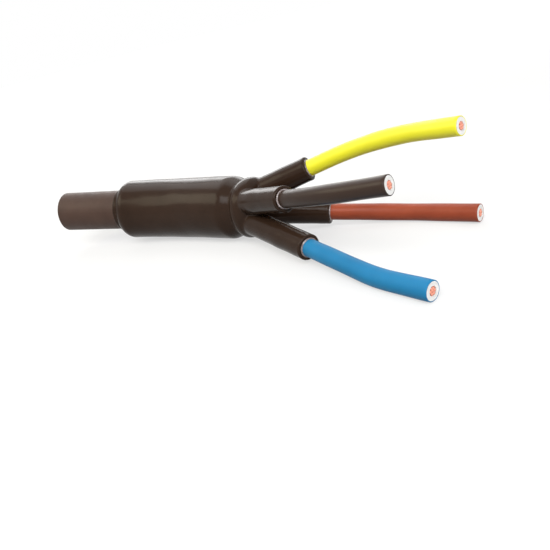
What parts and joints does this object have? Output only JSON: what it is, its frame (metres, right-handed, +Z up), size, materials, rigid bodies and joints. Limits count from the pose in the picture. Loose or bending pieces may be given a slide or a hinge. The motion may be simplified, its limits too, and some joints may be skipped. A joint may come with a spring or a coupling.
{
  "type": "cable termination",
  "caption": "Stub of multicore power cable with a shrunk breakout boot that seals the trimmed sheath and sends each coloured, insulated core out through its own finger.",
  "frame": {"origin": "on the floor under the middle of the part's box", "axes": "+X along the boot from the cable towards the cores, +Y away from the viewer, +Z up from the surface on which the part lies"},
  "size_m": [0.276, 0.0919, 0.0576],
  "materials": {
    "boot": "satin black shrunk polyolefin with a soft sheen",
    "sealant": "waxy hot-melt adhesive and mastic",
    "sheath": "satin black cable sheath, abraded under the boot",
    "filler": "dull grey extruded bedding",
    "yellow_skin": "smooth yellow core insulation",
    "black_skin": "smooth black core insulation",
    "brown_skin": "smooth brown core insulation",
    "blue_skin": "smooth blue core insulation",
    "insulation": "milky white inner insulation",
    "copper": "bright sawn copper"
  },
  "bodies": {
    "root": {"breakout_boot": "boot", "boot_sealant": "sealant", "cable_sheath": "sheath", "core_filler": "filler", "yellow_core_skin": "yellow_skin", "yellow_core_insulation": "insulation", "yellow_core_conductor": "copper", "yellow_finger_sealant": "sealant", "black_core_skin": "black_skin", "black_core_insulation": "insulation", "black_core_conductor": "copper", "black_finger_sealant": "sealant", "brown_core_skin": "brown_skin", "brown_core_insulation": "insulation", "brown_core_conductor": "copper", "brown_finger_sealant": "sealant", "blue_core_skin": "blue_skin", "blue_core_insulation": "insulation", "blue_core_conductor": "copper", "blue_finger_sealant": "sealant"}
  },
  "joints": []
}
